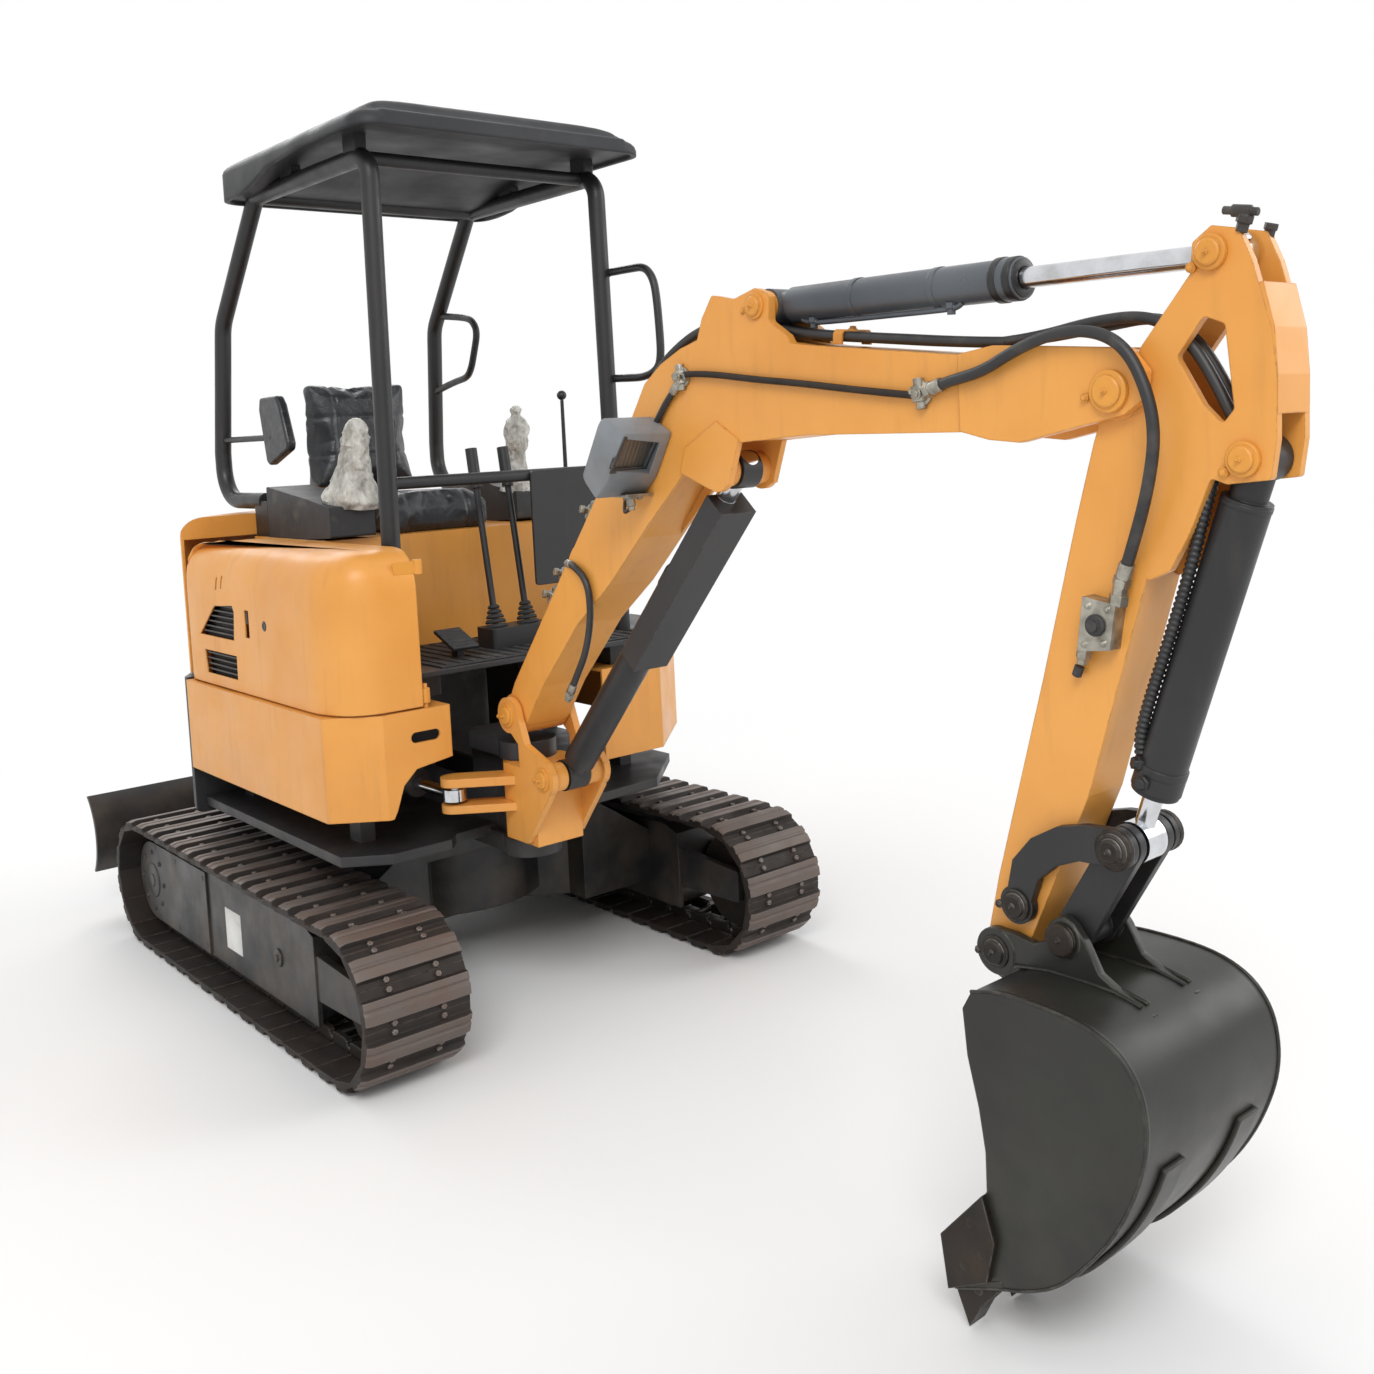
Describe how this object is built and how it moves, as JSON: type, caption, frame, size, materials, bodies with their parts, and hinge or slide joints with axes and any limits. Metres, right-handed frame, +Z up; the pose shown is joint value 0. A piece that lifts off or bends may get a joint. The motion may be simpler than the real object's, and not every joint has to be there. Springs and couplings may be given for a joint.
{
  "type": "crawler excavator",
  "caption": "Small crawler excavator with canopy, slewing upper body, swing boom, arm, bucket and dozer blade.",
  "frame": {"origin": "on the ground under the slew axis, midway between the tracks", "axes": "+Z up; the machine faces -Y, its left side is +X"},
  "size_m": [1.4, 3.841, 2.345],
  "materials": {
    "yellow_paint": "worn semi-gloss yellow paint",
    "grey_paint": "dark grey paint",
    "black_paint": "black paint",
    "worn_steel": "bare worn steel",
    "chrome_rod": "polished rod",
    "steel_track": "rusty steel",
    "seat_vinyl": "matt vinyl",
    "console_plastic": "matt plastic",
    "roof_plastic": "black moulded plastic",
    "bucket_paint": "dark worn gloss paint",
    "engine_iron": "cast iron block",
    "lamp_box": "matt plastic and lens"
  },
  "bodies": {
    "undercarriage": {"car_body": "black_paint", "track_frame_right": "black_paint", "track_frame_left": "black_paint", "track_right": "steel_track", "track_left": "steel_track", "sprocket_right": "worn_steel", "sprocket_left": "worn_steel", "idler_right": "worn_steel", "idler_left": "worn_steel", "slew_ring": "grey_paint"},
    "blade": {"blade": "black_paint"},
    "blade_barrel": {"blade_barrel": "black_paint"},
    "blade_rod": {"blade_rod": "chrome_rod"},
    "upper": {"main_frame": "black_paint", "counterweight": "grey_paint", "skirt_right": "yellow_paint", "skirt_left": "yellow_paint", "engine": "engine_iron", "floor_plate": "grey_paint", "seat_base": "yellow_paint", "seat_cushion": "seat_vinyl", "seat_back": "seat_vinyl", "console_right": "console_plastic", "console_left": "console_plastic", "travel_levers": "console_plastic", "canopy_frame": "black_paint", "canopy_roof": "roof_plastic", "front_panel": "console_plastic"},
    "side_cover": {"cover_right": "yellow_paint"},
    "engine_hood": {"engine_hood": "yellow_paint"},
    "swing_bracket": {"swing_bracket": "yellow_paint"},
    "swing_barrel": {"swing_barrel": "black_paint"},
    "swing_rod": {"swing_rod": "chrome_rod"},
    "boom": {"boom": "yellow_paint", "work_lamp": "lamp_box"},
    "boom_barrel": {"boom_barrel": "black_paint"},
    "boom_rod": {"boom_rod": "black_paint"},
    "arm": {"arm": "yellow_paint"},
    "arm_barrel": {"arm_barrel": "grey_paint"},
    "arm_rod": {"arm_rod": "chrome_rod"},
    "bucket": {"bucket": "bucket_paint"},
    "tilt_link": {"tilt_link": "black_paint"},
    "bucket_link": {"bucket_link": "black_paint"},
    "bucket_barrel": {"bucket_barrel": "black_paint"},
    "bucket_rod": {"bucket_rod": "chrome_rod"}
  },
  "joints": [
    {"name": "slew", "type": "hinge", "parent": "undercarriage", "child": "upper", "pos_m": [0, 0, 0.47], "axis": [0, 0, 1], "continuous": true},
    {"name": "blade_lift", "type": "hinge", "parent": "undercarriage", "child": "blade", "pos_m": [0, 0.47, 0.23], "axis": [1, 0, 0], "range_deg": [-30, 14]},
    {"name": "blade_barrel_pivot", "type": "hinge", "parent": "undercarriage", "child": "blade_barrel", "pos_m": [0, 0.4, 0.375], "axis": [1, 0, 0], "range_deg": [-25, 12]},
    {"name": "blade_rod_slide", "type": "slide", "parent": "blade_barrel", "child": "blade_rod", "axis": [0, 0.987, -0.1609], "range_m": [-0.033, 0.067]},
    {"name": "side_cover_hinge", "type": "hinge", "parent": "upper", "child": "side_cover", "pos_m": [-0.386, -0.634, 1], "axis": [0, 0, 1], "range_deg": [0, 60]},
    {"name": "engine_hood_hinge", "type": "hinge", "parent": "upper", "child": "engine_hood", "pos_m": [0.602, 0.366, 1], "axis": [0, 0, -1], "range_deg": [0, 60]},
    {"name": "boom_swing", "type": "hinge", "parent": "upper", "child": "swing_bracket", "pos_m": [-0.14, -0.69, 0.59], "axis": [0, 0, 1], "range_deg": [-45, 65]},
    {"name": "swing_barrel_pivot", "type": "hinge", "parent": "upper", "child": "swing_barrel", "pos_m": [-0.345, -0.06, 0.618], "axis": [0, 0, 1], "range_deg": [-4, 4]},
    {"name": "swing_rod_slide", "type": "slide", "parent": "swing_barrel", "child": "swing_rod", "axis": [0.0345, -0.9994, 0], "range_m": [-0.14, 0.202]},
    {"name": "boom_lift", "type": "hinge", "parent": "swing_bracket", "child": "boom", "pos_m": [-0.14, -0.74, 0.81], "axis": [-1, 0, 0], "range_deg": [-50, 42]},
    {"name": "boom_barrel_pivot", "type": "hinge", "parent": "swing_bracket", "child": "boom_barrel", "pos_m": [-0.14, -0.885, 0.672], "axis": [-1, 0, 0], "range_deg": [-54, 46]},
    {"name": "boom_rod_slide", "type": "slide", "parent": "boom_barrel", "child": "boom_rod", "axis": [0, -0.6767, 0.7362], "range_m": [-0.168, 0.142]},
    {"name": "arm_fold", "type": "hinge", "parent": "boom", "child": "arm", "pos_m": [-0.14, -2.468, 1.513], "axis": [1, 0, 0], "range_deg": [-60, 35]},
    {"name": "arm_barrel_pivot", "type": "hinge", "parent": "boom", "child": "arm_barrel", "pos_m": [-0.14, -1.686, 1.713], "axis": [1, 0, 0], "range_deg": [-8, 6]},
    {"name": "arm_rod_slide", "type": "slide", "parent": "arm_barrel", "child": "arm_rod", "axis": [0, -0.9999, -0.016], "range_m": [-0.226, 0.134]},
    {"name": "bucket_curl", "type": "hinge", "parent": "arm", "child": "bucket", "pos_m": [-0.14, -2.222, 0.597], "axis": [-1, 0, 0], "range_deg": [-130, 15]},
    {"name": "tilt_link_pivot", "type": "hinge", "parent": "arm", "child": "tilt_link", "pos_m": [-0.14, -2.267, 0.687], "axis": [-1, 0, 0], "range_deg": [-106, 14]},
    {"name": "bucket_link_pivot", "type": "hinge", "parent": "tilt_link", "child": "bucket_link", "pos_m": [-0.14, -2.458, 0.818], "axis": [-1, 0, 0], "range_deg": [-8, 57]},
    {"name": "bucket_barrel_pivot", "type": "hinge", "parent": "arm", "child": "bucket_barrel", "pos_m": [-0.14, -2.667, 1.409], "axis": [-1, 0, 0], "range_deg": [-2, 9]},
    {"name": "bucket_rod_slide", "type": "slide", "parent": "bucket_barrel", "child": "bucket_rod", "axis": [0, 0.3334, -0.9428], "range_m": [-0.046, 0.374]}
  ],
  "couplings": [
    {"joint": "blade_barrel_pivot", "follows": "blade_lift", "ratio": 0.7799},
    {"joint": "blade_rod_slide", "follows": "blade_lift", "m_per_rad": -0.1176},
    {"joint": "swing_barrel_pivot", "follows": "boom_swing", "ratio": -0.0306},
    {"joint": "swing_rod_slide", "follows": "boom_swing", "m_per_rad": 0.1743},
    {"joint": "boom_barrel_pivot", "follows": "boom_lift", "ratio": 1.01},
    {"joint": "boom_rod_slide", "follows": "boom_lift", "m_per_rad": 0.1861},
    {"joint": "arm_barrel_pivot", "follows": "arm_fold", "ratio": 0.1016},
    {"joint": "arm_rod_slide", "follows": "arm_fold", "m_per_rad": 0.2102},
    {"joint": "tilt_link_pivot", "follows": "bucket_curl", "ratio": 0.8005},
    {"joint": "bucket_link_pivot", "follows": "bucket_curl", "ratio": -0.424},
    {"joint": "bucket_barrel_pivot", "follows": "bucket_curl", "ratio": -0.0549},
    {"joint": "bucket_rod_slide", "follows": "bucket_curl", "m_per_rad": -0.1623}
  ]
}
